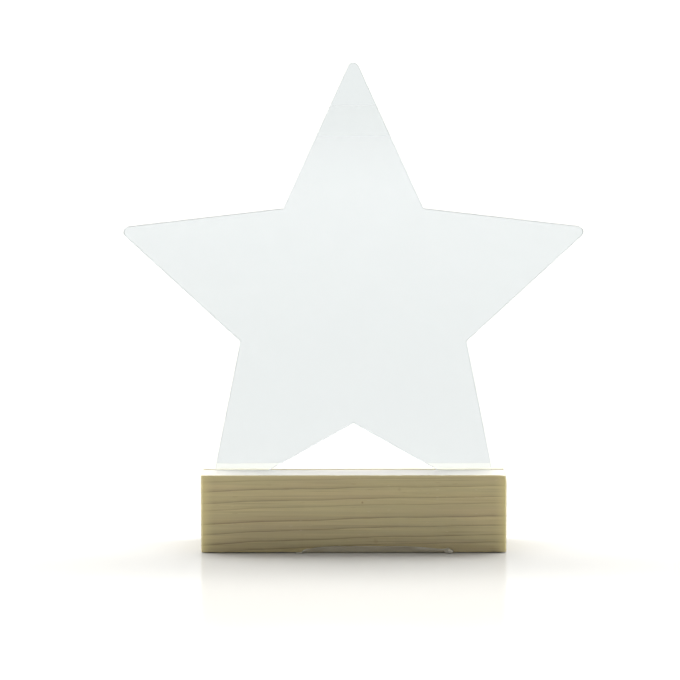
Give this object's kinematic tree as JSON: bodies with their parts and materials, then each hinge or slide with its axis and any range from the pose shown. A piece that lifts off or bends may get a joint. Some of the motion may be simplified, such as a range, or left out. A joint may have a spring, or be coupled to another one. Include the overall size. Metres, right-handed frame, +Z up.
{
  "type": "star trophy",
  "caption": "Clear star-shaped plate that stands upright in a groove along a low pine base block, on a clear grip film; the plate lifts out.",
  "frame": {"origin": "on the surface that the trophy stands on, under the middle of the base block", "axes": "+X along the base, to the right seen from the front; +Y from the front to the back, square to the star plate; +Z up"},
  "size_m": [0.1826, 0.0405, 0.1928],
  "materials": {
    "pine": "matte",
    "clear_acrylic": "polished",
    "clear_film": "satin"
  },
  "bodies": {
    "base": {"base_block": "pine", "grip_film": "clear_film"},
    "star": {"star_plate": "clear_acrylic"}
  },
  "joints": [
    {"name": "star_lift", "type": "slide", "parent": "base", "child": "star", "axis": [0, 0, 1], "range_m": [0, 0.03]}
  ]
}
